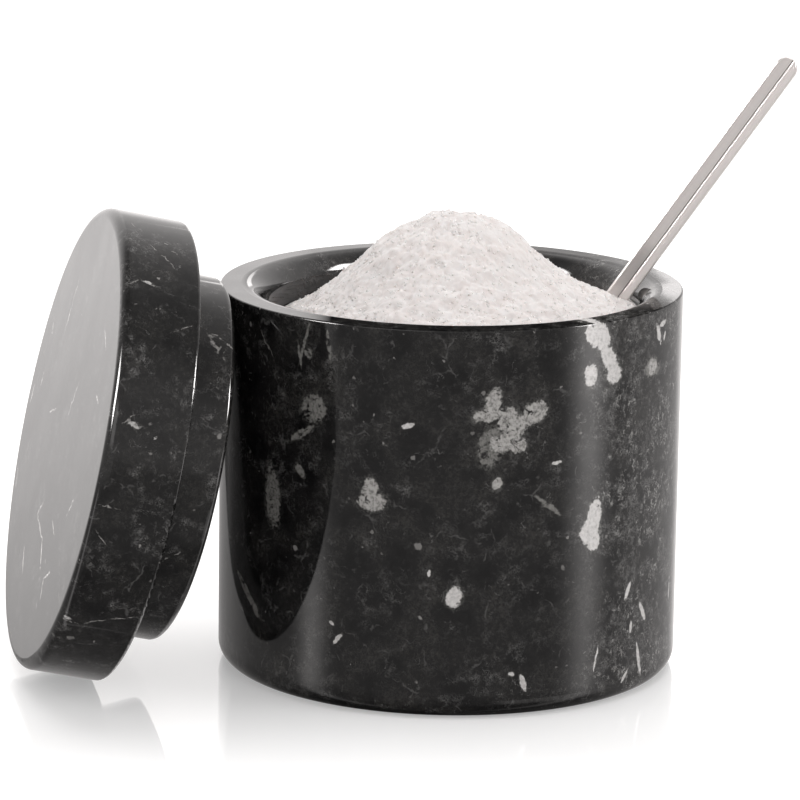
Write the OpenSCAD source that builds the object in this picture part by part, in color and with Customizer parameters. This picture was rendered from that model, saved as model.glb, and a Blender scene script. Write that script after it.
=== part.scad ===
// Marble salt cellar: a bored pot heaped with salt, a turned lid that leans on
// the pot's left side, and a small steel spoon that stands in the salt.
// Millimetres. The origin is the centre of the pot's base, +Z is up, and the
// front is the -Y side.

/* [Pot] */
// Outer diameter of the pot
pot_d = 89; // [82:1:96]
// Height of the pot
pot_h = 74; // [68:1:82]
// Thickness of the wall
pot_wall = 8.5; // [7:0.5:10]
// Thickness of the floor under the bore
pot_floor = 9; // [6:0.5:14]
// Radius of the rounding from the rim's flat top into the bore
rim_round = 4.5; // [3:0.5:6]
// Radius of the eased outer edge of the rim
rim_ease = 0.4; // [0.2:0.1:1]
// Radius of the rounding round the foot
foot_round = 3.5; // [2:0.5:6]
// Radius of the fillet between the bore and its floor
bore_fillet = 6; // [3:0.5:9]

/* [Lid] */
// Diameter of the lid's disc
lid_d = 89; // [82:1:96]
// Thickness of the lid's disc
lid_t = 15; // [12:0.5:18]
// How far the plug under the disc reaches into the pot
plug_depth = 9.4; // [7:0.2:12]
// Gap between the seated plug and the bore, on each side
plug_gap = 0.8; // [0.4:0.1:1.5]
// Radius of the rounding round the top face
lid_top_round = 1.9; // [1:0.1:3]
// Radius of the eased edge on the plug's side of the disc
lid_under_ease = 0.6; // [0.3:0.1:1.2]
// Radius of the fillet between the disc and the plug
plug_fillet = 1.5; // [0.8:0.1:2.5]
// Radius of the rounding at the plug's end
plug_end_round = 1.2; // [0.5:0.1:1.4]
// Angle by which the lid leans from upright
lid_lean = 12.4; // [10:0.2:15]
// Direction of the lid from the pot's axis, turned from -X towards -Y
lid_turn = 13.4; // [0:0.2:30]
// Gap between the leaning plug and the rim that it rests on
lean_gap = 0.3; // [0.2:0.1:0.6]

/* [Spoon] */
// Length of the spoon
spoon_l = 92; // [84:1:100]
// Length of the spoon below the point where it passes the rim
spoon_sunk = 38.5; // [34:0.5:44]
// Width of the handle
handle_w = 4.5; // [3.5:0.1:6]
// Thickness of the steel sheet
sheet_t = 0.9; // [0.7:0.1:1.2]
// Depth of the crease along the handle
crease_depth = 0.8; // [0.4:0.1:1.2]
// Outer diameter of the bowl at its rim
bowl_d = 17; // [14:0.5:20]
// Depth of the bowl's hollow
bowl_depth = 3.2; // [2:0.2:4]
// Radius of the shoulders between the handle and the bowl
shoulder_round = 7; // [4:0.5:10]
// Angle of the handle above the horizontal
spoon_lean = 55.3; // [52:0.1:60]
// Distance of the handle's face behind the pot's axis
spoon_back = 6.1; // [4:0.1:12]
// Gap between the handle's edge and the rim that it rests on
rest_gap = 0.3; // [0.2:0.1:0.6]

/* [Salt] */
// Height of the heap's peak above the rim
salt_rise = 14.5; // [10:0.5:18]
// Depth of the heap's foot below the rim, on the average
salt_drop = 5.3; // [4:0.1:8]
// Radius of the heap's rounded crown
salt_crown = 18.5; // [15:0.5:22]
// Slope of the heap's flank
salt_flank = 38.5; // [32:0.5:44]
// Slope of the low skirt round the flank
salt_skirt = 24.2; // [18:0.1:30]
// Tilt of the skirt down to the left
skirt_left = 2.9; // [0:0.1:4]
// Tilt of the skirt down to the back
skirt_back = 1.8; // [0:0.1:4]
// Gap between the salt and the bore
salt_gap = 0.3; // [0.2:0.1:0.6]
// Gap between the spoon and the slot that it leaves in the salt
slot_gap = 0.4; // [0.3:0.1:0.8]
// Angle above the horizontal at which the spoon is lifted out
lift_angle = 72; // [69:1:80]

/* [Hidden] */
$fn = 180;
// Overrun of every cut past the faces that it opens
cut_over = 1;

pot_r = pot_d / 2;
bore_r = pot_r - pot_wall;

// The lid's own axis starts at the centre of its top face and runs through the
// plug. The lean is worked out in the upright plane that holds both axes.
lid_r = lid_d / 2;
plug_r = bore_r - plug_gap;
lid_depth = lid_t + plug_depth;
// Height of the top face's centre, with the disc's lower edge on the table
lid_z = (lid_t - lid_under_ease) * sin(lid_lean)
      + (lid_r - lid_under_ease) * cos(lid_lean) + lid_under_ease;
// Height of the plug's upper corner, and its reach from the top face's centre
corner_z = lid_z - lid_depth * sin(lid_lean) + plug_r * cos(lid_lean);
corner_reach = lid_depth * cos(lid_lean) + plug_r * sin(lid_lean);
// The plug's end meets the rim, or its corner meets the side of a taller pot
touch_z = min(pot_h, corner_z);
lid_out = pot_r + lean_gap + corner_reach - (corner_z - touch_z) * tan(lid_lean);

// The spoon lies in the upright plane behind the pot's axis. The edge of the
// handle rests on the rounding of the rim, whose centre runs round a circle.
bowl_r = bowl_d / 2;
handle_back = spoon_back + sheet_t;
ring_r = bore_r + rim_round;
ring_x = sqrt(ring_r * ring_r - handle_back * handle_back);
ring_z = pot_h - rim_round;
// Cosine of the rim's turn away from the spoon's plane where they meet
turn_cos = ring_x / ring_r;
// Distance of the handle's edge from the centre of the rounding
edge_off = (rim_round + rest_gap) / turn_cos
         * sqrt(pow(sin(spoon_lean), 2) + pow(cos(spoon_lean) * turn_cos, 2));
axis_off = edge_off + handle_w / 2;
bowl_along = spoon_sunk - bowl_r;
bowl_x = ring_x - axis_off * sin(spoon_lean) - bowl_along * cos(spoon_lean);
bowl_z = ring_z + axis_off * cos(spoon_lean) - bowl_along * sin(spoon_lean);

// The bowl is a cap of a sphere. Its centre stands above the bowl's rim.
cap_h = bowl_depth + sheet_t;
cap_r = (bowl_r * bowl_r + cap_h * cap_h) / (2 * cap_h);
cap_centre = cap_r - cap_h;
// Place along the handle where the shoulders end
shoulder_x = sqrt(pow(bowl_r + shoulder_round, 2) - pow(handle_w / 2 + shoulder_round, 2));
tip_x = spoon_l - bowl_r;

// The heap's flank leaves the crown as its tangent and runs on below the salt,
// where the bore's own outline cuts it off.
salt_r = bore_r - salt_gap;
peak_z = pot_h + salt_rise;
crown_z = peak_z - salt_crown;
flank_r = salt_crown * sin(salt_flank);
flank_z = crown_z + salt_crown * cos(salt_flank);
heap_low = pot_floor - cut_over;
heap_r = flank_r + (flank_z - heap_low) / tan(salt_flank);

// The skirt is a low cone. Its tip lies on the pot's axis, inside the crown,
// and its flat top and its foot stay inside the flank's cone.
skirt_steep = tan(salt_skirt);
skirt_tip = pot_h - salt_drop + salt_r * skirt_steep;
skirt_in = flank_r / 2;
skirt_out = salt_r * 1.5;

// Length of the spoon's slot in the salt, enough to leave the heap
slot_l = spoon_sunk + salt_rise + bowl_d;

// The waste outside a rounded corner. The corner is at the origin, and the
// solid fills the side towards -X and -Y.
module corner_waste(r) {
    difference() {
        translate([-r, -r])
            square(r + cut_over);
        translate([-r, -r])
            circle(r);
    }
}

// The fillet in an inner corner at the origin, which fills the side towards
// +X and +Y.
module corner_fill(r) {
    difference() {
        square(r);
        translate([r, r])
            circle(r);
    }
}

// The pot's wall and floor in section, from its axis outwards
module pot_section() {
    difference() {
        square([pot_r, pot_h]);
        difference() {
            translate([0, pot_floor])
                square([bore_r, pot_h - pot_floor + cut_over]);
            translate([bore_r, pot_floor])
                mirror([1, 0])
                    corner_fill(bore_fillet);
        }
        translate([bore_r, pot_h])
            mirror([1, 0])
                corner_waste(rim_round);
        translate([pot_r, pot_h])
            corner_waste(rim_ease);
        translate([pot_r, 0])
            mirror([0, 1])
                corner_waste(foot_round);
    }
}

module pot() {
    color([0.13, 0.13, 0.14])
        rotate_extrude()
            pot_section();
}

// The lid in section, from its axis outwards and from its top face upwards
module lid_section() {
    difference() {
        square([lid_r, lid_t]);
        translate([lid_r, lid_t])
            corner_waste(lid_under_ease);
        translate([lid_r, 0])
            mirror([0, 1])
                corner_waste(lid_top_round);
    }
    difference() {
        square([plug_r, lid_depth]);
        translate([plug_r, lid_depth])
            corner_waste(plug_end_round);
    }
    translate([plug_r, lid_t])
        corner_fill(plug_fillet);
}

module lid() {
    color([0.15, 0.15, 0.16])
        rotate([0, 0, lid_turn])
            translate([-lid_out, 0, lid_z])
                rotate([0, 90 + lid_lean, 0])
                    rotate_extrude()
                        lid_section();
}

// Puts a shape drawn in the spoon's own frame in its place: +X runs from the
// bowl's centre to the handle's tip, and +Z is the hollow side.
module in_spoon_place() {
    translate([bowl_x, spoon_back, bowl_z])
        rotate([0, -spoon_lean, 0])
            rotate([90, 0, 0])
                children();
}

// Flat outline of one shoulder, between the bowl's rim and the handle's edge
module shoulder_outline() {
    difference() {
        polygon([[0, 0], [shoulder_x, 0], [shoulder_x, handle_w / 2 + shoulder_round]]);
        translate([shoulder_x, handle_w / 2 + shoulder_round])
            circle(shoulder_round);
    }
}

// Flat outline of the handle, with its round tip
module handle_outline() {
    translate([0, -handle_w / 2])
        square([tip_x - handle_w / 2, handle_w]);
    translate([tip_x - handle_w / 2, 0])
        circle(handle_w / 2);
}

// The creased sheet of the handle in section, as wide as the handle
module crease_section() {
    polygon([
        [-handle_w / 2, 0],
        [0, -crease_depth],
        [handle_w / 2, 0],
        [handle_w / 2, -sheet_t],
        [0, -crease_depth - sheet_t],
        [-handle_w / 2, -sheet_t]
    ]);
}

module creased_handle() {
    intersection() {
        rotate([90, 0, 90])
            linear_extrude(tip_x + cut_over)
                crease_section();
        translate([0, 0, -crease_depth - sheet_t - cut_over])
            linear_extrude(crease_depth + sheet_t + 2 * cut_over)
                handle_outline();
    }
}

module bowl_shell() {
    rotate_extrude()
        intersection() {
            translate([0, cap_centre])
                difference() {
                    circle(cap_r);
                    circle(cap_r - sheet_t);
                }
            translate([0, -cap_h - cut_over])
                square([bowl_r + cut_over, cap_h + cut_over]);
        }
}

module spoon() {
    color([0.75, 0.73, 0.72])
        in_spoon_place() {
            bowl_shell();
            difference() {
                union() {
                    creased_handle();
                    translate([0, 0, -sheet_t])
                        linear_extrude(sheet_t)
                            for (side = [0, 1])
                                mirror([0, side])
                                    shoulder_outline();
                }
                translate([0, 0, cap_centre])
                    sphere(cap_r - sheet_t / 2);
            }
        }
}

// The space that the spoon needs as it is lifted out of the salt
module lift_slot() {
    turn = lift_angle - spoon_lean;
    out_x = slot_l * cos(turn);
    out_y = slot_l * sin(turn);
    half_w = handle_w / 2 + slot_gap;
    reach = bowl_r + slot_gap;
    handle_deep = crease_depth + sheet_t + 2 * slot_gap;
    bowl_deep = cap_h + 2 * slot_gap;
    in_spoon_place() {
        translate([0, 0, slot_gap - handle_deep])
            linear_extrude(handle_deep)
                polygon([
                    [0, -reach],
                    [shoulder_x, -half_w],
                    [slot_l, -half_w],
                    [slot_l + out_x, out_y - half_w],
                    [out_x, out_y + reach],
                    [0, reach]
                ]);
        translate([0, 0, slot_gap - bowl_deep])
            linear_extrude(bowl_deep) {
                circle(reach);
                rotate(turn)
                    translate([0, -reach])
                        square([slot_l, 2 * reach]);
            }
    }
}

// The salt's outline against the bore, from the pot's axis outwards
module fill_section() {
    difference() {
        translate([0, pot_floor])
            square([salt_r, peak_z - pot_floor]);
        translate([salt_r, pot_floor])
            mirror([0, 1])
                corner_waste(bore_fillet);
    }
}

// The heap's crown and flank, from the pot's axis outwards
module heap_section() {
    polygon([[0, heap_low], [heap_r, heap_low], [flank_r, flank_z], [0, flank_z]]);
    intersection() {
        translate([0, crown_z])
            circle(salt_crown);
        translate([0, flank_z])
            square([salt_crown, salt_crown]);
    }
}

// The low skirt, which lies higher in front and on the right
module skirt() {
    translate([0, 0, skirt_tip])
        rotate([-skirt_back, -skirt_left, 0])
            translate([0, 0, -skirt_out * skirt_steep])
                cylinder(h = (skirt_out - skirt_in) * skirt_steep, r1 = skirt_out, r2 = skirt_in);
}

module salt() {
    color([0.93, 0.91, 0.90])
        difference() {
            intersection() {
                rotate_extrude()
                    fill_section();
                union() {
                    rotate_extrude()
                        heap_section();
                    skirt();
                }
            }
            lift_slot();
        }
}

pot();
lid();
spoon();
salt();
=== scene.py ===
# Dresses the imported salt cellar: polished black marble with white inclusions,
# a brushed steel spoon and a heap of fine salt. Blender's units are metres, in
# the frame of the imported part. Sizes of shapes are written in millimetres.
import math

import bpy
import numpy as np
from mathutils import Matrix, Vector


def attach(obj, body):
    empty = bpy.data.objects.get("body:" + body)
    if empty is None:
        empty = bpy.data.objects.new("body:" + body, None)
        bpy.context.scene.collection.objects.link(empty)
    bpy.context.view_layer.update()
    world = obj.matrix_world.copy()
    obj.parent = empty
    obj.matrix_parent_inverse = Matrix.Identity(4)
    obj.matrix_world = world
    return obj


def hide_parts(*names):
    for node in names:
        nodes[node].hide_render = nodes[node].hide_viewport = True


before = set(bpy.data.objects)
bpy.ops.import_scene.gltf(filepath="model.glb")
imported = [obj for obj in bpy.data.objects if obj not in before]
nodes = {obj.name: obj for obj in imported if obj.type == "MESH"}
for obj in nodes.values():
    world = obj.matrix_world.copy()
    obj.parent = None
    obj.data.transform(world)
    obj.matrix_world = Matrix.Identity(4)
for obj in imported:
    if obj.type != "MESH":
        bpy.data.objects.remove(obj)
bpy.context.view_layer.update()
MM = 0.001

# sizes of the part's source, mm
POT_R, POT_H, BORE_R, RIM_ROUND = 44.5, 74.0, 36.0, 4.5
SPOON_LEAN = math.radians(55.3)
SPOON_L, SPOON_BACK, HANDLE_W, SHEET_T = 92.0, 6.1, 4.5, 0.9
CREASE, BOWL_R, BOWL_DEPTH, SHOULDER = 0.8, 8.5, 3.2, 7.0
SPOON_SUNK, REST_GAP = 38.5, 0.3
LID_TURN, LID_LEAN = math.radians(13.4), math.radians(12.4)
LID_OUT, LID_Z = 75.814, 46.568

# the stone's ground from dark to pale, and what lies in it
GROUND = ((0.0, (0.0030, 0.0029, 0.0031)), (0.34, (0.0064, 0.0062, 0.0064)),
          (0.62, (0.0132, 0.0128, 0.0126)), (1.0, (0.042, 0.040, 0.037)))
WEB_COLOR, WORM_COLOR = (0.215, 0.212, 0.208), (0.33, 0.325, 0.315)
FLECK_COLOR, MILK_COLOR = (0.34, 0.33, 0.32), (0.13, 0.128, 0.12)
# painted shade: black for the foot, where the contact shadow falls
FOOT_SHADE_COLOR = (0.0, 0.0, 0.0)
MARBLE_IOR = 1.56

STEEL_DARK, STEEL_PALE = (0.69, 0.650, 0.632), (0.82, 0.78, 0.762)
# painted shade for the bottom of the handle's crease
STEEL_CREASE_SHADE = (0.06, 0.055, 0.055)
SALT_DULL, SALT_BRIGHT = (0.780, 0.738, 0.724), (0.812, 0.785, 0.775)
CRYSTAL_DULL, CRYSTAL_BRIGHT = (0.93, 0.905, 0.895), (0.95, 0.94, 0.935)


def mesh_object(name, verts, faces):
    mesh = bpy.data.meshes.new(name)
    mesh.from_pydata([tuple(v) for v in verts], [], [tuple(f) for f in faces])
    mesh.validate()
    mesh.polygons.foreach_set("use_smooth", [True] * len(mesh.polygons))
    mesh.update()
    obj = bpy.data.objects.new(name, mesh)
    bpy.context.scene.collection.objects.link(obj)
    return obj


class Tree:
    """Short calls to build the nodes of a material or of the world."""

    def __init__(self, owner, output):
        owner.use_nodes = True
        self.nt = owner.node_tree
        self.nt.nodes.clear()
        self.out = self.node(output)

    def node(self, kind, **props):
        n = self.nt.nodes.new("ShaderNode" + kind)
        for key, value in props.items():
            setattr(n, key, value)
        return n

    def put(self, socket, value):
        if isinstance(value, bpy.types.NodeSocket):
            self.nt.links.new(value, socket)
        else:
            socket.default_value = value

    def object_place(self):
        return self.node("TexCoord").outputs["Object"]

    def math(self, op, *values):
        n = self.node("Math", operation=op)
        for socket, value in zip(n.inputs, values):
            self.put(socket, value)
        return n.outputs[0]

    def chain(self, op, *parts):
        out = parts[0]
        for part in parts[1:]:
            out = self.math(op, out, part)
        return out

    def product(self, *parts):
        return self.chain("MULTIPLY", *parts)

    def total(self, *parts):
        return self.chain("ADD", *parts)

    def highest(self, *parts):
        return self.chain("MAXIMUM", *parts)

    def scale_add(self, value, factor, more):
        return self.math("MULTIPLY_ADD", value, factor, more)

    def blend(self, share, a, b):
        """a where share is 0, b where it is 1."""
        return self.scale_add(share, self.math("SUBTRACT", b, a), a)

    def vec(self, op, *values):
        n = self.node("VectorMath", operation=op)
        for socket, value in zip(n.inputs, values):
            self.put(socket, value)
        return n.outputs["Value" if op in ("LENGTH", "DOT_PRODUCT") else "Vector"]

    def scaled(self, vector, factor):
        n = self.node("VectorMath", operation="SCALE")
        self.put(n.inputs[0], vector)
        self.put(n.inputs["Scale"], factor)
        return n.outputs[0]

    def split(self, vector):
        n = self.node("SeparateXYZ")
        self.put(n.inputs[0], vector)
        return tuple(n.outputs)

    def join(self, x, y, z=0.0):
        n = self.node("CombineXYZ")
        for socket, value in zip(n.inputs, (x, y, z)):
            self.put(socket, value)
        return n.outputs[0]

    def noise(self, vector, scale, detail, rough, distort=0.0, out="Fac"):
        n = self.node("TexNoise")
        self.put(n.inputs["Vector"], vector)
        self.put(n.inputs["Scale"], scale)
        self.put(n.inputs["Detail"], detail)
        self.put(n.inputs["Roughness"], rough)
        self.put(n.inputs["Distortion"], distort)
        return n.outputs[out]

    def wander(self, vector, scale, detail, rough):
        """A noise of directions, about zero."""
        return self.vec("SUBTRACT", self.noise(vector, scale, detail, rough, out="Color"),
                        (0.5, 0.5, 0.5))

    def voronoi(self, vector, scale, feature="F1"):
        n = self.node("TexVoronoi", feature=feature)
        self.put(n.inputs["Vector"], vector)
        self.put(n.inputs["Scale"], scale)
        return n

    def cell_distance(self, vector, scale, feature="F1"):
        return self.voronoi(vector, scale, feature).outputs["Distance"]

    def ramp(self, fac, lo, hi, to_lo=0.0, to_hi=1.0, shape="SMOOTHSTEP"):
        """Goes from to_lo to to_hi while fac goes from lo to hi, and stays there."""
        n = self.node("MapRange", interpolation_type=shape)
        self.put(n.inputs["Value"], fac)
        for key, value in zip(("From Min", "From Max", "To Min", "To Max"), (lo, hi, to_lo, to_hi)):
            self.put(n.inputs[key], value)
        return n.outputs["Result"]

    def zones(self, vector, scale, detail, rough, *limits):
        """A ramp of a noise, with the ramp's own limits last."""
        return self.ramp(self.noise(vector, scale, detail, rough), *limits)

    def ridge(self, vector, scale, width, detail, distort, rough):
        """Thin lines where a noise crosses its middle value."""
        n = self.noise(vector, scale, detail, rough, distort)
        return self.ramp(self.math("ABSOLUTE", self.math("SUBTRACT", n, 0.5)), 0.0, width, 1.0, 0.0)

    def mix(self, fac, a, b):
        n = self.node("Mix", data_type="RGBA")
        self.put(n.inputs["Factor"], fac)
        for place, color in ((6, a), (7, b)):
            self.put(n.inputs[place], (*color, 1) if isinstance(color, tuple) else color)
        return n.outputs[2]

    def bump(self, height, strength, distance, normal=None):
        n = self.node("Bump")
        self.put(n.inputs["Height"], height)
        self.put(n.inputs["Strength"], strength)
        self.put(n.inputs["Distance"], distance)
        if normal is not None:
            self.put(n.inputs["Normal"], normal)
        return n.outputs[0]

    def shader(self, **values):
        b = self.node("BsdfPrincipled")
        for key, value in values.items():
            self.put(b.inputs[key.replace("_", " ")], value)
        return b.outputs[0]

    def choose(self, fac, first, second):
        """The first shader where fac is 0, the second where it is 1."""
        n = self.node("MixShader")
        for socket, value in zip(n.inputs, (fac, first, second)):
            self.put(socket, value)
        return n.outputs[0]

    def show(self, surface):
        self.put(self.out.inputs["Surface"], surface)


def new_material(name):
    mat = bpy.data.materials.new(name)
    return mat, Tree(mat, "OutputMaterial")


def patch_distance(t, flat, wobble, patches):
    """How far each point is from the nearest patch, which ends at 1. flat holds
    the place on the surface in mm, and wobble moves the patches' edges."""
    ranges = []
    for u, v, half_u, half_v, slant, wander in patches:
        m = t.node("Mapping", vector_type="TEXTURE")
        m.inputs["Location"].default_value = (u, v, 0)
        m.inputs["Rotation"].default_value = (0, 0, math.radians(slant))
        m.inputs["Scale"].default_value = (half_u, half_v, 1)
        t.put(m.inputs["Vector"], t.vec("ADD", flat, t.scaled(wobble, wander)))
        ranges.append(t.vec("LENGTH", m.outputs[0]))
    return t.chain("MINIMUM", *ranges)


def stone_ground(t, place, warped, ruffled, grain, shade_scale):
    """Soft dark lumps, cloudy zones and fine crystals."""
    lump = t.ramp(t.cell_distance(ruffled, 0.17, "SMOOTH_F1"), 0.16, 0.52)
    cloud = t.noise(warped, 0.10, 5.0, 0.62)
    fine = t.noise(place, 1.3, 6.0, 0.74)
    tone = t.scale_add(lump, 0.22, t.product(cloud, 0.50))
    tone = t.scale_add(fine, 0.85, tone)
    tone = t.scale_add(grain, 0.30, tone)
    ground = t.node("ValToRGB")
    t.put(ground.inputs[0], t.ramp(tone, 0.66, 1.28, shape="LINEAR"))
    stops = ground.color_ramp.elements
    stops.remove(stops[1])
    for at, color in GROUND:
        stop = stops[0] if at == 0.0 else stops.new(at)
        stop.position, stop.color = at, (*(c * shade_scale for c in color), 1)
    return ground.outputs[0]


def stone_web(t, color, place, warped, ruffle, ruffled, x, on_pot):
    """Adds a crackle of pale crystals in clouds, seams between lumps and hair
    veins. The pot's right side also has wrinkles and short pale worms."""
    crackle = t.product(
        t.highest(t.ridge(place, 0.75, 0.030, 4.0, 0.8, 0.62),
                  t.ridge(ruffled, 1.5, 0.045, 3.0, 0.5, 0.6)),
        t.zones(place, 0.42, 4.0, 0.65, 0.44, 0.66))
    side = t.product(t.ramp(x, 24.5, 30.0, 0.0, 0.85 * on_pot),
                     t.zones(warped, 0.11, 3.0, 0.6, 0.40, 0.52))
    zone = t.highest(t.zones(warped, 0.13, 4.0, 0.62, 0.46, 0.68), side)
    wrinkle = t.product(t.ridge(ruffled, 1.9, 0.05, 3.0, 0.9, 0.66),
                        t.zones(place, 0.55, 4.0, 0.65, 0.47, 0.60), side)
    seam = t.product(t.ramp(t.cell_distance(warped, 0.12, "DISTANCE_TO_EDGE"), 0.0, 0.03, 1.0, 0.0),
                     t.zones(place, 0.33, 4.0, 0.6, 0.52, 0.66))
    hair = t.product(t.ridge(warped, 0.21, 0.006, 5.0, 0.4, 0.60),
                     t.zones(place, 0.20, 3.0, 0.6, 0.55, 0.66))
    web = t.product(crackle, t.scale_add(zone, 0.85 - 0.27 * on_pot, 0.10))
    web = t.highest(web, wrinkle, t.product(seam, 0.30), t.product(hair, 0.75))

    tall = t.vec("ADD", t.vec("MULTIPLY", ruffled, (1.0, 1.0, 0.42)), t.scaled(ruffle, 1.2))
    edge = t.cell_distance(tall, 0.85, "DISTANCE_TO_EDGE")
    worm = t.product(t.ramp(edge, 0.015, 0.085, 1.0, 0.0),
                     t.zones(place, 0.75, 3.0, 0.6, 0.50, 0.58),
                     t.zones(place, 0.17, 2.0, 0.5, 0.40, 0.54, 0.25, 1.0), side)
    return t.mix(worm, t.mix(web, color, WEB_COLOR), WORM_COLOR)


def flecks(t, place, ruffle, scale, share, radius, shift):
    """Small white specks: some of the cells of a Voronoi, each its own size."""
    spot = t.vec("ADD", place, (shift, 2.0 * shift, 3.0 * shift))
    v = t.voronoi(t.vec("ADD", spot, t.scaled(ruffle, 1.3)), scale)
    cell = t.node("SeparateColor")
    t.put(cell.inputs[0], v.outputs["Color"])
    chance, own_size, strength = cell.outputs
    keep = t.math("LESS_THAN", chance, share)
    size = t.scale_add(own_size, radius, 0.35 * radius)
    near = t.ramp(t.math("SUBTRACT", v.outputs["Distance"], size), -0.02, 0.05, 1.0, 0.0)
    return t.product(near, t.product(keep, t.scale_add(strength, 0.6, 0.4)))


def inclusions(t, color, mm, place, groups):
    """Adds the large inclusions: a milky edge round a dense white body."""
    wobble = t.wander(place, 0.42, 5.0, 0.66)
    worn = t.math("SUBTRACT", t.noise(place, 1.1, 5.0, 0.70), 0.5)
    crystals = t.noise(place, 1.5, 5.0, 0.70)
    cells = t.noise(place, 0.62, 4.0, 0.62, 0.6)
    for fold, patches, (body, dark, cut, most) in groups:
        far = t.total(worn, patch_distance(t, fold(t, mm), wobble, patches))
        holes = t.ramp(cells, cut, cut + 0.10)
        milk = t.product(t.ramp(far, 0.95, 1.45, 0.55 * most, 0.0), t.ramp(crystals, 0.42, 0.60))
        color = t.mix(t.product(milk, holes), color, MILK_COLOR)
        mask = t.product(t.ramp(far, 0.82, 1.04, most, 0.0), holes)
        color = t.mix(mask, color, t.mix(t.ramp(crystals, 0.26, 0.60), dark, body))
    return color


def rim_gloss(t, gloss, x, y, z):
    """The pot's gloss: most of the flat of its rim is duller than its sides."""
    kept = t.product(t.ramp(y, -24.0, 4.0, 0.0, 0.30),
                     t.total(t.ramp(x, -5.0, 12.0, 1.0, 0.3), t.ramp(x, 28.0, 36.0, 0.0, 0.7)))
    kept = t.highest(kept, t.ramp(x, -34.0, -22.0, 0.68, 0.0))
    flat = t.ramp(z, POT_H - 0.3, POT_H - 0.1)
    return t.product(gloss, t.scale_add(flat, t.math("SUBTRACT", kept, 1.0), 1.0))


def marble(name, groups, on_pot, shade_scale):
    """Polished stone, with its pattern in millimetres. on_pot is 1 for the pot and
    0 for the lid, and also moves the pattern. The last argument scales the ground's
    colours: 1 on the pot, 0.7 on the lid as painted shade, a darker copy of the stone."""
    mat, t = new_material(name)
    mm = t.scaled(t.object_place(), 1000.0)
    x, y, z = t.split(mm)
    place = t.vec("ADD", mm, (40.0 * on_pot, 25.0 * on_pot, 0.0))
    warped = t.vec("ADD", place, t.scaled(t.wander(place, 0.16, 4.0, 0.6), 5.0))
    ruffle = t.wander(place, 0.9, 3.0, 0.6)
    ruffled = t.vec("ADD", warped, t.scaled(ruffle, 1.6))
    grain = t.noise(place, 4.6, 3.0, 0.65)

    color = stone_ground(t, place, warped, ruffled, grain, shade_scale)
    color = stone_web(t, color, place, warped, ruffle, ruffled, x, on_pot)
    fleck = t.highest(flecks(t, place, ruffle, 0.55, 0.085, 0.15, 3.1),
                      flecks(t, place, ruffle, 0.26, 0.045, 0.12, 7.7))
    color = t.mix(t.product(fleck, 0.7), color, FLECK_COLOR)
    color = inclusions(t, color, mm, place, groups)
    # painted shade: the stone turns black in its lowest 2 mm, where the contact shadow falls
    color = t.mix(t.ramp(z, 0.2, 2.2), FOOT_SHADE_COLOR, color)

    rough = t.zones(place, 0.9, 4.0, 0.6, 0.35, 0.75, 0.035, 0.085)
    pits = t.ramp(t.cell_distance(place, 0.75), 0.02, 0.10)
    waves = t.bump(t.noise(place, 0.045, 1.0, 0.4), 0.30, 0.0010)
    normal = t.bump(pits, 0.10, 0.00005, t.bump(grain, 0.05, 0.00003, waves))
    gloss = t.ramp(z, 0.3, 5.5, 0.0, 0.5)
    if on_pot:
        gloss = rim_gloss(t, gloss, x, y, z)
    t.show(t.shader(Base_Color=color, Roughness=rough, IOR=MARBLE_IOR,
                    Specular_IOR_Level=gloss, Normal=normal))
    return mat


def round_fold(t, mm):
    """The place on the pot's side: mm round it from the front towards the right,
    and the height."""
    x, y, z = t.split(mm)
    turn = t.math("ARCTAN2", x, t.product(y, -1.0))
    return t.join(t.product(turn, POT_R), z)


def lid_places(t, mm):
    """Distances along the lid's axis from its top face, and up and to the front
    across it."""
    axis = Vector((math.cos(LID_TURN) * math.cos(LID_LEAN),
                   math.sin(LID_TURN) * math.cos(LID_LEAN), -math.sin(LID_LEAN)))
    rise = (Vector((0, 0, 1)) - axis * axis.z).normalized()
    centre = Vector((-LID_OUT * math.cos(LID_TURN), -LID_OUT * math.sin(LID_TURN), LID_Z))
    place = t.vec("SUBTRACT", mm, tuple(centre))
    return (t.vec("DOT_PRODUCT", place, tuple(way)) for way in (axis, rise, axis.cross(rise)))


def lid_round_fold(t, mm):
    """Mm round the lid from its highest line to the front, and along it."""
    along, up, out = lid_places(t, mm)
    return t.join(t.product(t.math("ARCTAN2", out, up), POT_R), along)


def lid_face_fold(t, mm):
    """Mm across the lid's top face, to the front and upwards. Past the face the
    place moves far away, so that its veins stay on the face."""
    along, up, out = lid_places(t, mm)
    past = t.highest(t.math("SUBTRACT", along, 1.5), 0.0)
    return t.join(out, up, t.product(past, 9.0))


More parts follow.
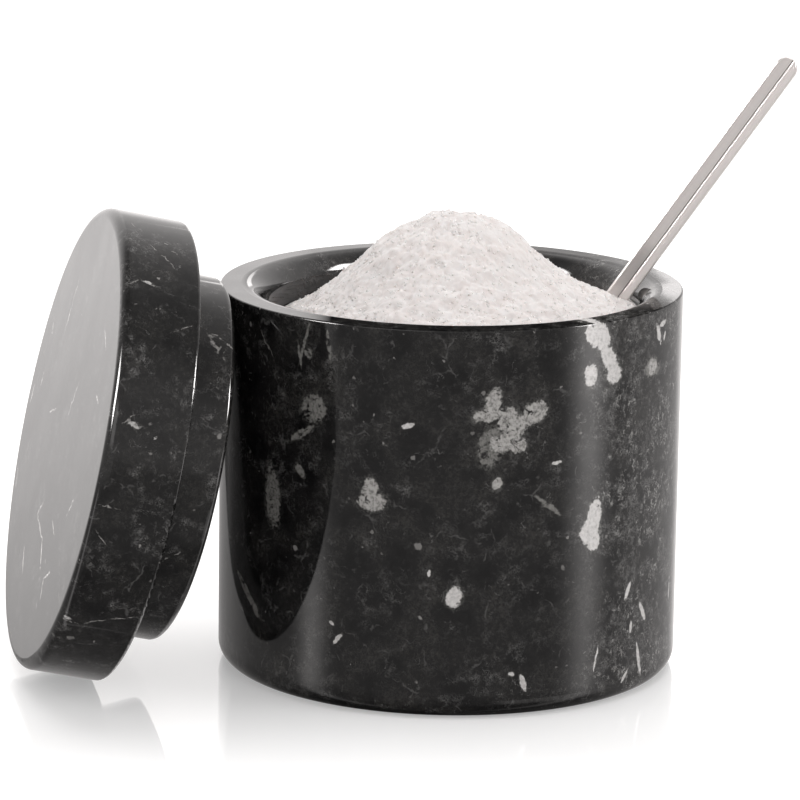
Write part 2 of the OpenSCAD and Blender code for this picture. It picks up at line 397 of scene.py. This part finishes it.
# Each inclusion: centre along and up the surface, half length and half width
# (mm), slant (degrees) and how far its edge wanders (mm)
POT_WHITE = (
    (29.4, 37.2, 3.8, 1.7, 80, 1.0), (28.4, 34.4, 2.3, 2.6, -21, 1.0),
    (29.3, 32.2, 1.7, 1.6, 60, 1.0), (30.0, 71.5, 3.4, 2.1, -66, 1.8),
    (32.4, 66.4, 3.9, 1.8, -60, 1.8), (33.6, 63.9, 2.0, 1.9, -30, 1.6),
    (27.6, 71.8, 2.2, 1.2, -68, 1.8), (27.8, 64.2, 2.4, 1.6, 89, 1.2),
    (47.6, 69.4, 2.3, 0.7, -64, 2.4), (49.4, 70.9, 1.7, 0.5, 18, 2.2),
    (50.4, 68.4, 0.9, 0.4, 70, 1.6), (1.4, 23.8, 2.2, 1.6, 82, 1.4),
    (-3.2, 28.1, 0.7, 0.3, 83, 0.8), (-21.0, 13.9, 1.3, 0.45, 52, 1.2),
    (-22.3, 16.8, 0.6, 0.35, -24, 0.8), (-7.6, 55.9, 1.2, 0.5, 15, 1.4),
    (39.0, 21.2, 2.0, 0.6, 62, 0.9), (44.0, 16.3, 2.3, 0.6, -61, 0.9),
    (40.2, 13.9, 1.2, 0.45, 85, 0.8), (43.1, 7.0, 3.6, 0.5, -76, 0.9),
    (38.6, 4.5, 1.6, 0.35, 49, 0.9), (14.8, 6.7, 1.9, 0.6, -70, 1.0),
    (12.5, 8.5, 0.6, 0.35, -13, 0.8), (20.7, 48.5, 1.0, 0.4, 4, 0.9),
    (57.3, 17.1, 1.9, 0.3, 85, 0.6), (30.6, 9.5, 2.6, 0.22, 80, 1.2),
    (112.0, 22.0, 4.2, 1.8, -60, 2.6), (92.0, 55.0, 3.0, 1.5, 75, 2.4),
    (-122.0, 60.0, 2.6, 1.2, -30, 2.0), (76.0, 36.0, 2.4, 0.7, -70, 1.6),
    (132.0, 48.0, 3.4, 1.4, 20, 2.6), (-138.0, 14.0, 3.0, 1.0, 85, 2.0),
)
POT_MILKY = (
    (10.8, 57.4, 2.6, 1.7, 60, 1.8), (8.0, 60.2, 3.2, 1.5, 76, 2.2), (7.4, 58.2, 3.0, 1.5, 10, 2.4),
    (12.4, 55.6, 3.6, 2.0, 35, 3.0), (16.2, 58.4, 2.7, 2.0, 30, 3.0),
    (10.2, 52.8, 3.0, 1.7, 10, 2.8), (13.0, 52.2, 1.8, 1.5, 60, 2.4),
    (45.4, 63.4, 1.9, 1.7, -10, 2.4), (-14.7, 43.0, 2.6, 1.6, 84, 2.2),
    (-14.4, 41.0, 3.1, 1.7, 5, 2.0), (9.1, 45.2, 1.2, 1.0, 60, 1.6),
    (-96.0, 40.0, 5.0, 2.2, 30, 3.0), (-75.0, 22.0, 2.4, 1.2, 60, 2.4),
)
POT_PALE = (
    (7.6, 52.2, 3.9, 2.3, 80, 2.4), (-37.0, 38.8, 5.9, 2.1, -85, 1.8),
    (-26.6, 57.3, 2.9, 2.7, 4, 1.6), (-29.7, 52.0, 3.8, 0.7, 34, 1.4),
    (-29.8, 45.0, 1.6, 0.8, -54, 1.8), (-45.4, 18.2, 5.7, 0.8, -39, 1.0),
    (-42.2, 15.6, 1.9, 0.9, -42, 0.9), (-29.0, 69.4, 4.1, 0.32, 72, 1.2),
    (-28.1, 67.5, 1.0, 0.8, -25, 1.4), (-30.2, 67.0, 2.2, 0.3, 100, 1.0),
    (-23.5, 69.7, 3.1, 0.5, -79, 1.2), (45.4, 63.2, 2.9, 2.0, -10, 1.8),
    (19.0, 40.5, 3.4, 0.5, -35, 2.2), (-39.5, 68.0, 3.4, 0.12, -50, 1.6),
    (-103.0, 62.0, 4.4, 1.6, 70, 2.4), (118.0, 62.0, 5.0, 1.4, -20, 2.4),
    (86.0, 12.0, 3.6, 2.0, 40, 2.4), (-84.0, 50.0, 4.0, 0.4, 60, 2.0),
)
LID_SIDE = (
    (56.6, 4.8, 1.4, 0.5, 83, 2.6), (58.4, 8.6, 0.5, 0.35, -63, 1.4),
    (97.5, 1.5, 0.8, 0.4, 83, 0.8), (27.1, 4.9, 0.9, 0.4, 74, 2.6), (-52.0, 8.0, 3.0, 1.0, 30, 2.0),
    (-96.0, 5.0, 2.2, 1.2, -60, 1.8), (130.0, 9.0, 2.4, 0.9, 70, 2.0),
)
LID_VEINS = (
    (98.2, 1.8, 2.8, 0.15, 83, 1.8), (97.4, 6.6, 2.5, 0.16, -60, 1.8),
    (95.1, 11.4, 2.9, 0.12, -69, 1.8), (19.2, 8.3, 4.4, 0.18, 34, 3.0),
    (16.4, 9.9, 2.1, 0.18, 49, 3.3), (14.4, 9.6, 1.6, 0.15, 60, 3.0),
    (8.9, 3.7, 2.2, 0.12, 24, 2.4), (28.7, 1.8, 2.2, 0.15, -42, 3.3), (27.6, 5.6, 2, 0.15, 60, 3.3),
    (55.6, 3.4, 1.6, 0.18, -50, 3.6), (72.2, 3, 1.8, 0.12, 88, 2.4),
    (78.3, 2.9, 1.8, 0.12, 44, 2.1), (36.7, 11.4, 2.2, 0.12, -56, 2.1),
    (33.2, 7, 0.8, 0.15, -77, 1.8), (32, 20.6, 4.2, 1, 18, 4.5), (30, 22, 3, 0.2, 40, 3.3),
    (43, 21, 2.2, 0.15, 60, 2.4), (85, 19, 2.6, 0.12, -40, 2.4),
)
LID_FACE = (
    (-4.9, -15.4, 2.8, 0.31, 44, 1.7), (-1.3, -18.4, 5.4, 0.31, -13, 1.7),
    (5.9, -21.8, 3.4, 0.44, -46, 1.4), (16.1, -23.3, 2.7, 0.31, 26, 1.4),
    (13.9, -26.3, 2.3, 0.34, -71, 1.4), (-36.4, -17, 2.2, 0.27, -64, 1.4),
    (-32.8, 14.5, 1.3, 0.44, -52, 1.2), (-32.1, 4.5, 1.5, 0.41, 87, 1.2),
    (-10.7, -27.4, 3.4, 0.34, -46, 1.7), (12, -15, 2.7, 0.27, -18, 1.4),
    (26.7, 13.5, 1.7, 0.37, -10, 1.4), (-32.6, 30.3, 2.3, 0.37, 87, 1.4),
    (-39.4, -0.2, 2.2, 0.27, 81, 1.4), (4, 8, 5, 0.17, 62, 2.9), (-18, 22, 6, 0.17, 75, 2.9),
    (22, 24, 3.4, 0.2, -30, 2.4), (-14, 2, 4, 0.17, 20, 2.6), (24, -8, 3, 0.2, 50, 2.4),
)

# Each kind of inclusion: its pale and its dark colour, how much of it is worn
# away and how strongly it shows
WHITE_STONE = ((0.66, 0.645, 0.635), (0.38, 0.37, 0.36), 0.27, 1.0)
MILKY_STONE = ((0.46, 0.45, 0.435), (0.085, 0.084, 0.079), 0.34, 0.95)
PALE_STONE = ((0.22, 0.216, 0.205), (0.05, 0.05, 0.047), 0.38, 0.9)
VEIN_STONE = ((0.30, 0.29, 0.28), (0.05, 0.05, 0.05), 0.455, 0.9)
SPECK_STONE = ((0.52, 0.51, 0.50), (0.12, 0.118, 0.115), 0.42, 0.95)
FACE_STONE = ((0.62, 0.60, 0.585), (0.16, 0.155, 0.15), 0.36, 1.0)

POT_GROUPS = ((round_fold, POT_PALE, PALE_STONE), (round_fold, POT_MILKY, MILKY_STONE),
              (round_fold, POT_WHITE, WHITE_STONE))
LID_GROUPS = ((lid_round_fold, LID_VEINS, VEIN_STONE), (lid_round_fold, LID_SIDE, SPECK_STONE),
              (lid_face_fold, LID_FACE, FACE_STONE))


def spoon_frame():
    """Matrix of the spoon's own frame: +X to the tip, +Z its hollow side."""
    ring_r, ring_z = BORE_R + RIM_ROUND, POT_H - RIM_ROUND
    ring_x = math.sqrt(ring_r**2 - (SPOON_BACK + SHEET_T) ** 2)
    c = ring_x / ring_r
    edge = (RIM_ROUND + REST_GAP) / c * math.hypot(math.sin(SPOON_LEAN), math.cos(SPOON_LEAN) * c)
    off, along = edge + HANDLE_W / 2, SPOON_SUNK - BOWL_R
    x = ring_x - off * math.sin(SPOON_LEAN) - along * math.cos(SPOON_LEAN)
    z = ring_z + off * math.cos(SPOON_LEAN) - along * math.sin(SPOON_LEAN)
    ax = Vector((math.cos(SPOON_LEAN), 0, math.sin(SPOON_LEAN)))
    az = Vector((0, -1, 0))
    m = Matrix((ax, az.cross(ax), az)).transposed().to_4x4()
    m.translation = Vector((x, SPOON_BACK, z))
    return m


def steel():
    """Steel brushed along the spoon, with a painted shade line in its handle's crease."""
    mat, t = new_material("steel_brushed")
    at = t.object_place()
    grain = t.node("Mapping", vector_type="POINT")
    t.put(grain.inputs["Vector"], at)
    grain.inputs["Rotation"].default_value = (0, SPOON_LEAN, 0)
    grain.inputs["Scale"].default_value = (60.0, 9000.0, 9000.0)
    brush = t.noise(grain.outputs[0], 1.0, 4.0, 0.6)
    blotch = t.noise(at, 260.0, 3.0, 0.5)
    m = spoon_frame()
    place = t.vec("SUBTRACT", t.scaled(at, 1000.0), tuple(m.translation))
    along, across = (t.vec("DOT_PRODUCT", place, tuple(m.col[k].xyz)) for k in (0, 1))
    # painted shade: a dark line along the bottom of the handle's crease, fading out towards the
    # bowl
    line = t.ramp(t.math("ABSOLUTE", t.total(across, 0.20)), 0.05, 0.11, 0.75, 0.0)
    line = t.product(line, t.ramp(along, 13.0, 22.0))
    color = t.mix(line, t.mix(brush, STEEL_DARK, STEEL_PALE), STEEL_CREASE_SHADE)
    rough = t.scale_add(blotch, 0.10, t.scale_add(brush, 0.10, 0.22))
    t.show(t.shader(Base_Color=color, Metallic=0.36, Roughness=rough,
                    Normal=t.bump(brush, 0.12, 0.00003)))
    return mat


def salt_material(name, dull, bright, **more):
    mat, t = new_material(name)
    at = t.object_place()
    fine = t.noise(at, 2600.0, 4.0, 0.7)
    color = t.mix(t.zones(at, 420.0, 3.0, 0.6, 0.35, 0.65), dull, bright)
    t.show(t.shader(Base_Color=color, Roughness=t.ramp(fine, 0.3, 0.7, 0.40, 0.62),
                    Specular_IOR_Level=0.12, Normal=t.bump(fine, 0.12, 0.00005), **more))
    return mat


steel_mat = steel()
salt_mat = salt_material("salt_bed", SALT_DULL, SALT_BRIGHT, IOR=1.54, Subsurface_Weight=1.0,
                         Subsurface_Radius=(1.0, 0.95, 0.92), Subsurface_Scale=0.0010)
crystal_mat = salt_material("salt_crystals", CRYSTAL_DULL, CRYSTAL_BRIGHT, IOR=1.30,
                            Transmission_Weight=0.8)
# the lid's ground is darkened to 0.7 of the pot's as painted shade
for name, mat in (("pot", marble("marble_pot", POT_GROUPS, on_pot=1.0, shade_scale=1.0)),
                  ("lid", marble("marble_lid", LID_GROUPS, on_pot=0.0, shade_scale=0.7))):
    mesh = nodes[name].data
    mesh.materials.clear()
    mesh.materials.append(mat)


def half_width(x):
    """The spoon's outline: bowl, shoulder, handle and round tip."""
    tip = SPOON_L - BOWL_R
    hw = HANDLE_W / 2
    sx = math.sqrt((BOWL_R + SHOULDER) ** 2 - (hw + SHOULDER) ** 2)
    join = sx * BOWL_R / (BOWL_R + SHOULDER)
    if x <= join:
        return math.sqrt(max(0.0, BOWL_R**2 - x * x))
    if x <= sx:
        return hw + SHOULDER - math.sqrt(max(0.0, SHOULDER**2 - (x - sx) ** 2))
    if x <= tip - hw:
        return hw
    return math.sqrt(max(0.0, hw * hw - (x - tip + hw) ** 2))


# the press leaves a fine steep wall on the crease's right side
CREASE_AT = (-HANDLE_W / 2, -0.50, -0.36, -0.28, HANDLE_W / 2)
CREASE_Z = (0, -0.64, -CREASE, -0.70, 0)
CREASE_START, CREASE_GROWS, BOWL_END, NECK = 6.0, 9.0, 9.0, 14.0


def spoon_top(x, y):
    """Height of the hollow side's surface."""
    cap_h = BOWL_DEPTH + SHEET_T
    cap_r = (BOWL_R**2 + cap_h**2) / (2 * cap_h)
    inner_r, centre = cap_r - SHEET_T, cap_r - cap_h
    grow = min(1.0, max(0.0, (x - CREASE_START) / CREASE_GROWS))
    grow = grow * grow * (3 - 2 * grow)
    crease = float(np.interp(y, CREASE_AT, CREASE_Z)) * grow
    if x >= BOWL_END:
        return crease
    r = math.hypot(x, y)
    return min(centre - math.sqrt(max(0.0, inner_r**2 - min(r, inner_r) ** 2)), 0.0, crease)


def build_spoon():
    tip, hw = SPOON_L - BOWL_R, HANDLE_W / 2
    # stations along the spoon, close together at both round ends
    stations = np.concatenate([
        -BOWL_R * np.cos(np.linspace(0.0, 1.0, 40) * math.pi / 2),
        np.linspace(0, NECK, 60)[1:],
        np.linspace(NECK, tip - hw, 70)[1:],
        tip - hw + hw * np.sin(np.linspace(0, 1, 22)[1:] * math.pi / 2),
    ])
    # the first and last end a little short, where the sheet still has a width
    stations[0] += 0.02
    stations[-1] -= 0.004
    edge_r = SHEET_T / 2
    across = np.concatenate([np.linspace(-1, -0.44, 9), np.linspace(-0.42, -0.06, 19),
                             np.linspace(-0.03, 1, 16)])
    rings = []
    for x in stations:
        w = max(half_width(x), 0.05)
        inset = min(edge_r * 0.8, w * 0.5)
        tops = [(x, y, spoon_top(x, y)) for y in across * (w - inset)]
        lows = [(x, y, z - SHEET_T) for x, y, z in reversed(tops)]
        loop = []
        for row, (_, y, z), start in ((tops, tops[-1], math.pi / 2), (lows, tops[0], -math.pi / 2)):
            loop += row
            for k in range(1, 6):  # the sheet's edge is rounded over
                a = start - k * math.pi / 6
                loop.append((x, y + inset * math.cos(a), z - edge_r + edge_r * math.sin(a)))
        rings.append(loop)
    n = len(rings[0])
    verts = [p for loop in rings for p in loop]
    faces = []
    for i in range(len(rings) - 1):
        for j in range(n):
            k = (j + 1) % n
            faces.append((i * n + j, i * n + k, (i + 1) * n + k, (i + 1) * n + j))
    faces.append(tuple(reversed(range(n))))
    faces.append(tuple((len(rings) - 1) * n + j for j in range(n)))
    m = spoon_frame()
    obj = mesh_object("spoon_steel", [m @ Vector(v) * MM for v in verts], faces)
    obj.data.materials.append(steel_mat)
    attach(obj, "spoon")
    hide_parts("spoon")


build_spoon()


def value_noise(x, y, seed):
    """Smooth noise from -1 to 1 at arrays of points."""
    def scatter(i, j):
        """A number from -1 to 1 for each point of the grid."""
        n = (i * 374761393 + j * 668265263 + seed * 144665) & 0x7FFFFFFF
        n = ((n ^ (n >> 13)) * 1274126177) & 0x7FFFFFFF
        return ((n ^ (n >> 16)) & 0xFFFF) / 32767.5 - 1
    xi, yi = (np.floor(a).astype(np.int64) for a in (x, y))
    fx, fy = (f * f * (3 - 2 * f) for f in (x - xi, y - yi))
    out = 0
    for dx in (0, 1):
        for dy in (0, 1):
            out = out + (fx if dx else 1 - fx) * (fy if dy else 1 - fy) * scatter(xi + dx, yi + dy)
    return out


# Slopes of the heap to its four sides: distance from the middle and height, mm
RIGHT = ((0, 88.5), (6.2, 87.4), (10.6, 85.4), (14.0, 82.8), (18.9, 77.8), (25.6, 73.4),
         (31.4, 71.2), (35.6, 70.0))
LEFT = ((0, 88.5), (4.9, 87.5), (10.0, 84.8), (14.4, 82.0), (18.4, 77.9), (22.8, 74.0),
        (27.0, 70.6), (31.0, 68.0), (35.6, 66.0))
BACK = ((0, 88.5), (5.0, 87.2), (12.0, 83.6), (20.0, 77.6), (28.0, 72.0), (35.6, 68.0))
FRONT = ((0, 88.5), (5.0, 87.2), (12.0, 83.3), (20.0, 77.8), (28.0, 73.2), (35.6, 70.2))
# its lumps: width and height of each size, and where their pattern starts
LUMPS = ((7.0, 0.28), (2.4, 0.36), (1.2, 0.28), (0.65, 0.16))
LUMPS_X, LUMPS_Y = 3.3, 1.7
# towards the pot's wall they fade to a share of their height
FADE_END, FADE_WIDTH, FADE_LEAST = 36.5, 4.0, 0.3

SALT_R = 35.75
BED_SINK, GRAIN_SINK = 0.12, 0.15  # how far both lie under the heap's surface
ROUGH, ROUGH_FROM = 0.03, 8.0  # the bed's fine roughness, and where it is full
RINGS, STEPS = 158, 600
# rings of the bed inside the pot: radius and height
INSIDE = ((SALT_R, 60.0), (SALT_R, 30.0), (SALT_R, 16.0), (35.0, 12.6), (33.0, 10.3),
          (30.0, 9.3), (15.0, 9.3))


def heap_height(x, y):
    """Height of the heap's surface with its lumps, mm."""
    r = np.hypot(x, y)
    way = x / np.maximum(r, 1e-6), y / np.maximum(r, 1e-6)
    z = 0
    for slope, axis, sign in ((RIGHT, 0, 1), (LEFT, 0, -1), (BACK, 1, 1), (FRONT, 1, -1)):
        z = z + np.maximum(sign * way[axis], 0) ** 2 * np.interp(r, *zip(*slope))
    u, v = x + LUMPS_X, y + LUMPS_Y
    lump = sum(height * value_noise(u / width, v / width, seed)
               for seed, (width, height) in enumerate(LUMPS, 1))
    return z + lump * np.clip((FADE_END - r) / FADE_WIDTH, FADE_LEAST, 1)


def build_heap():
    """The body of the heap, down into the pot, with a rough fine surface."""
    rng = np.random.default_rng(11)
    angles = np.linspace(0, 2 * math.pi, STEPS, endpoint=False)
    # right in the middle no slope has a share, so the top is taken beside it
    verts = [(0, 0, float(heap_height(np.array([0.01]), np.array([0.0]))[0]) - BED_SINK)]
    for i, r in enumerate(SALT_R * (np.arange(1, RINGS + 1) / RINGS) ** 0.9):
        a = angles + (0.5 * (i % 2)) * 2 * math.pi / STEPS
        x, y = r * np.cos(a), r * np.sin(a)
        rough = ROUGH * min(1.0, r / ROUGH_FROM) * rng.standard_normal(STEPS)
        verts += list(zip(x, y, heap_height(x, y) - BED_SINK + rough * (r < SALT_R - 0.01)))
    for r, z in INSIDE:
        verts += [(r * math.cos(a), r * math.sin(a), z) for a in angles]
    verts.append((0, 0, INSIDE[-1][1]))
    total = RINGS + len(INSIDE)
    faces = [(0, 1 + j, 1 + (j + 1) % STEPS) for j in range(STEPS)]
    for i in range(total - 1):
        a0, b0 = 1 + i * STEPS, 1 + (i + 1) * STEPS
        for j in range(STEPS):
            k = (j + 1) % STEPS
            faces.append((a0 + j, b0 + j, b0 + k, a0 + k))
    last, low = 1 + (total - 1) * STEPS, len(verts) - 1
    faces += [(low, last + (j + 1) % STEPS, last + j) for j in range(STEPS)]
    obj = mesh_object("salt_heap", np.array(verts) * MM, faces)
    obj.data.materials.append(salt_mat)
    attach(obj, "pot")
    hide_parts("salt")


CUBE = np.array([(-1, -1, -1), (1, -1, -1), (1, 1, -1), (-1, 1, -1),
                 (-1, -1, 1), (1, -1, 1), (1, 1, 1), (-1, 1, 1)], float)
CUBE_FACES = np.array([(0, 3, 2, 1), (4, 5, 6, 7), (0, 1, 5, 4), (1, 2, 6, 5),
                       (2, 3, 7, 6), (3, 0, 4, 7)])


def build_grains(name, count, size, lift, seed):
    """Loose crystals over the surface: broken cubes, each turned its own way."""
    g = np.random.default_rng(seed)
    r = (SALT_R - 0.5) * np.sqrt(g.random(count))
    a = 2 * math.pi * g.random(count)
    x, y = r * np.cos(a), r * np.sin(a)
    z = heap_height(x, y) - GRAIN_SINK + lift * (g.random(count) - 0.5)
    half = size * (0.6 + 0.8 * g.random((count, 1))) * (0.7 + 0.5 * g.random((count, 3)))
    shape = CUBE[None] * half[:, None, :] * (1 + 0.28 * (g.random((count, 8, 3)) - 0.5))
    q = g.standard_normal((count, 4))
    q /= np.linalg.norm(q, axis=1)[:, None]
    w, i, j, k = q.T
    turn = np.stack([1 - 2 * (j * j + k * k), 2 * (i * j - k * w), 2 * (i * k + j * w),
                     2 * (i * j + k * w), 1 - 2 * (i * i + k * k), 2 * (j * k - i * w),
                     2 * (i * k - j * w), 2 * (j * k + i * w), 1 - 2 * (i * i + j * j)], 1)
    points = np.einsum("nij,nvj->nvi", turn.reshape(-1, 3, 3), shape)
    points += np.stack([x, y, z], 1)[:, None, :]
    faces = CUBE_FACES[None] + (np.arange(count) * len(CUBE))[:, None, None]
    obj = mesh_object(name, points.reshape(-1, 3) * MM, faces.reshape(-1, 4).tolist())
    obj.data.materials.append(crystal_mat)
    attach(obj, "pot")


build_heap()
build_grains("salt_grains_fine", count=3400, size=0.11, lift=0.06, seed=21)
build_grains("salt_grains_coarse", count=900, size=0.17, lift=0.12, seed=22)

FLOOR_HALF = 4.0  # metres
# the table's own light for the camera, and what it has more of it far away
FLOOR_LIGHT, FAR_LIGHT = 0.34, 0.14


def build_floor():
    """A gloss table, matt and plain white far from the object. The polished stone
    sees the world through it, so that the table's mirror image stays soft."""
    mat, t = new_material("floor_gloss")
    rays = t.node("LightPath")
    at = t.object_place()
    _, y, _ = t.split(at)
    far = t.ramp(t.vec("LENGTH", at), 0.14, 0.30)
    gloss = t.product(t.ramp(y, -0.085, -0.046, 0.0, 0.5), t.math("SUBTRACT", 1.0, far))
    light = t.product(rays.outputs["Is Camera Ray"], t.scale_add(far, FAR_LIGHT, FLOOR_LIGHT))
    table = t.shader(Base_Color=(0.90, 0.90, 0.90, 1), Roughness=0.03, IOR=1.5,
                     Specular_IOR_Level=gloss, Emission_Color=(1, 1, 1, 1),
                     Emission_Strength=light)
    clear = t.node("BsdfTransparent").outputs[0]
    t.show(t.choose(rays.outputs["Is Glossy Ray"], table, clear))
    corners = ((-1, -1, 0), (1, -1, 0), (1, 1, 0), (-1, 1, 0))
    obj = mesh_object("floor", FLOOR_HALF * np.array(corners), [(0, 1, 2, 3)])
    obj.data.materials.append(mat)


build_floor()

# In the world x, y and z are a ray's direction, and turn is its angle in degrees
# from the front towards the right
PLAIN_LIGHT = 0.62  # what matt surfaces see all round
ROOM_TINT = (1.0, 0.970, 0.960, 1)
BOX_LEVEL, BOX_EDGE = 40.0, 4.0
BOX_LOW, BOX_HIGH = 0.34, 0.62
TIP_LIGHT, SCREEN_LIGHT = 1.2, 1.7


def soft_box(t, turn, z, first, last):
    """A soft box between two directions in degrees, from low to high."""
    return t.product(
        t.ramp(turn, first - BOX_EDGE, first + BOX_EDGE),
        t.ramp(turn, last - BOX_EDGE, last + BOX_EDGE, 1.0, 0.0),
        t.ramp(z, BOX_LOW - 0.04, BOX_LOW + 0.05),
        t.ramp(z, BOX_HIGH - 0.07, BOX_HIGH + 0.07, 1.0, 0.0), BOX_LEVEL)


def table_glow(t, turn, middle, spread, peak):
    """A soft lobe round one direction, seen in the table's gloss."""
    d = t.math("DIVIDE", t.math("SUBTRACT", turn, middle), spread)
    return t.product(t.math("EXPONENT", t.product(d, d, -1.0)), peak)


def room_light(t, x, y, z):
    """The room: dim in front, with a paler patch low on the right, and pale behind."""
    patch = t.product(t.ramp(z, -0.42, -0.33, 0.60, 0.0), t.ramp(z, -0.70, -0.58),
                      t.ramp(x, 0.34, 0.44))
    front = t.total(patch, t.ramp(z, -0.75, -0.62, 0.21, 0.30), t.ramp(z, -0.05, 0.10, 0.0, 0.24))
    right = t.scale_add(t.highest(t.ramp(y, 0.85, 0.97), t.ramp(z, 0.0, 0.10)), 0.36, 0.64)
    left = t.ramp(z, -0.25, -0.11, 0.42, 1.36, shape="LINEAR")
    on_left = t.ramp(x, -0.03, 0.03, 1.0, 0.0)
    behind = t.blend(on_left, t.ramp(y, -0.25, 0.35), t.ramp(y, 0.30, 0.75))
    light = t.blend(behind, front, t.blend(on_left, right, left))
    return t.product(light, t.ramp(z, 0.55, 0.95, 1.0, 0.45), t.ramp(z, -0.76, -0.62, 0.75, 1.0))


def build_world():
    """White all round for the camera. Gloss sees a pale room that is darker in
    front, with a tall soft box on either side and its glow on the table. Matt
    surfaces see one plain light."""
    world = bpy.data.worlds.new("studio")
    bpy.context.scene.world = world
    t = Tree(world, "OutputWorld")
    x, y, z = t.split(t.node("TexCoord").outputs["Generated"])
    turn = t.product(t.math("ARCTAN2", x, t.product(y, -1.0)), 180.0 / math.pi)

    below = t.ramp(z, -0.02, 0.06, 1.0, 0.0)
    glow = t.total(table_glow(t, turn, -71.0, 8.0, 1.15),
                   t.product(table_glow(t, turn, 73.0, 10.0, 1.9),
                             t.ramp(z, -0.27, -0.19, 0.65, 1.45)))
    boxes = t.total(soft_box(t, turn, z, -80.0, -62.0), soft_box(t, turn, z, 70.0, 84.0))
    light = t.total(room_light(t, x, y, z), t.product(glow, below), boxes)
    # a lamp's edge in front on the left, and a white screen behind on the right
    tip = t.product(t.ramp(z, 0.24, 0.34), t.ramp(z, 0.50, 0.60, 1.0, 0.0),
                    t.ramp(turn, -52.0, -42.0), t.ramp(turn, -16.0, -6.0, 1.0, 0.0))
    screen = t.product(t.ramp(x, 0.0478, 0.0500), t.ramp(x, 0.11, 0.13, 1.0, 0.0),
                       t.ramp(y, 0.90, 0.94), t.ramp(z, 0.08, 0.12),
                       t.ramp(z, 0.28, 0.32, 1.0, 0.0))
    light = t.scale_add(tip, TIP_LIGHT, t.scale_add(screen, SCREEN_LIGHT, light))

    def background(color, strength):
        n = t.node("Background")
        t.put(n.inputs["Color"], color)
        t.put(n.inputs["Strength"], strength)
        return n.outputs[0]

    rays = t.node("LightPath")
    room = t.choose(rays.outputs["Is Glossy Ray"], background(ROOM_TINT, PLAIN_LIGHT),
                    background(ROOM_TINT, light))
    seen_plain = t.highest(rays.outputs["Is Camera Ray"], rays.outputs["Is Transmission Ray"])
    t.show(t.choose(seen_plain, room, background((1, 1, 1, 1), 1.0)))


build_world()

LAMPS_AIM = Vector((0, 0, 0.05))  # metres, as are the lamps' places and sizes


def area(name, at, size, power):
    """A soft lamp. Its mirror image comes from the world's soft boxes."""
    data = bpy.data.lights.new(name, "AREA")
    data.shape = "RECTANGLE"
    data.size, data.size_y = size
    data.energy = power
    obj = bpy.data.objects.new(name, data)
    obj.location = at
    obj.rotation_euler = (LAMPS_AIM - Vector(at)).to_track_quat("-Z", "Y").to_euler()
    obj.visible_glossy = False
    bpy.context.scene.collection.objects.link(obj)


area("soft_left", at=(-0.85, -0.25, 0.45), size=(0.40, 0.9), power=1.5)
area("soft_right", at=(0.95, -0.30, 0.45), size=(0.40, 0.9), power=2.4)
area("soft_top", at=(0.0, 0.15, 0.95), size=(0.9, 0.7), power=3.7)

# the camera that was fitted to the photograph's outlines: sensor in mm, the
# photograph's side and the focal length in its pixels, and the place in metres
SENSOR, PHOTO_SIDE, FOCAL_PIXELS = 36.0, 800.0, 4325.954
CAMERA_AT = (0.0, -0.81721, 0.23381)
CAMERA_RIGHT, CAMERA_AHEAD = (0.9998, 0.0149, 0.0142), (-0.0115, 0.9758, -0.2184)


def build_camera():
    cam = bpy.data.cameras.new("camera")
    cam.sensor_width, cam.sensor_height = SENSOR, SENSOR
    cam.sensor_fit = "HORIZONTAL"
    cam.lens = FOCAL_PIXELS * SENSOR / PHOTO_SIDE
    cam.clip_start, cam.clip_end = 0.05, 20.0
    ahead = Vector(CAMERA_AHEAD).normalized()
    up = Vector(CAMERA_RIGHT).normalized().cross(ahead).normalized()
    right = ahead.cross(up).normalized()
    m = Matrix((right, up, -ahead)).transposed().to_4x4()
    m.translation = Vector(CAMERA_AT)
    eye = bpy.data.objects.new("camera", cam)
    eye.matrix_world = m
    bpy.context.scene.collection.objects.link(eye)
    bpy.context.scene.camera = eye


build_camera()
bpy.context.scene.view_settings.view_transform = "Standard"
